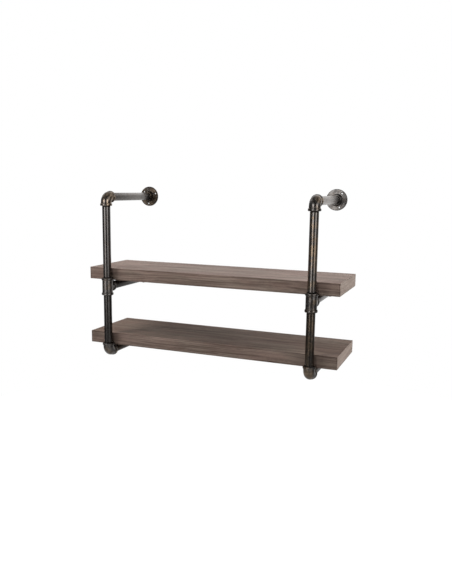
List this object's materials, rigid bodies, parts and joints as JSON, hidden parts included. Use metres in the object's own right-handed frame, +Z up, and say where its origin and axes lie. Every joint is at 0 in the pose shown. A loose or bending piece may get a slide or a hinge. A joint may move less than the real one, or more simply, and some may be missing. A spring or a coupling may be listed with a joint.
{
  "type": "pipe shelving unit",
  "caption": "Wall-mounted shelving unit: thick wood planks carried on bent frames of threaded pipe, elbows and tees, with a round flange at each frame's wall end.",
  "frame": {"origin": "on the wall's surface, midway between the two wall arms' axes", "axes": "+X along the planks towards the right end, +Y into the wall, +Z up"},
  "size_m": [0.86, 0.3155, 0.5732],
  "materials": {
    "plank_wood": "grey-brown stained, matt",
    "pipe_steel": "dark gunmetal, brushed and burnished",
    "fitting_iron": "antique bronze, mottled and burnished",
    "strap_steel": "dark gunmetal, satin",
    "screw_steel": "blackened"
  },
  "bodies": {
    "root": {"left_bottom_elbow": "fitting_iron", "left_lower_arm": "pipe_steel", "left_lower_cap": "fitting_iron", "left_lower_post": "pipe_steel", "left_lower_strap": "strap_steel", "left_tee": "fitting_iron", "left_top_elbow": "fitting_iron", "left_upper_arm": "pipe_steel", "left_upper_cap": "fitting_iron", "left_upper_post": "pipe_steel", "left_upper_strap": "strap_steel", "left_wall_arm": "pipe_steel", "left_wall_flange": "fitting_iron", "lower_plank": "plank_wood", "lower_strap_screws": "screw_steel", "right_bottom_elbow": "fitting_iron", "right_lower_arm": "pipe_steel", "right_lower_cap": "fitting_iron", "right_lower_post": "pipe_steel", "right_lower_strap": "strap_steel", "right_tee": "fitting_iron", "right_top_elbow": "fitting_iron", "right_upper_arm": "pipe_steel", "right_upper_cap": "fitting_iron", "right_upper_post": "pipe_steel", "right_upper_strap": "strap_steel", "right_wall_arm": "pipe_steel", "right_wall_flange": "fitting_iron", "upper_plank": "plank_wood", "upper_strap_screws": "screw_steel"}
  },
  "joints": []
}
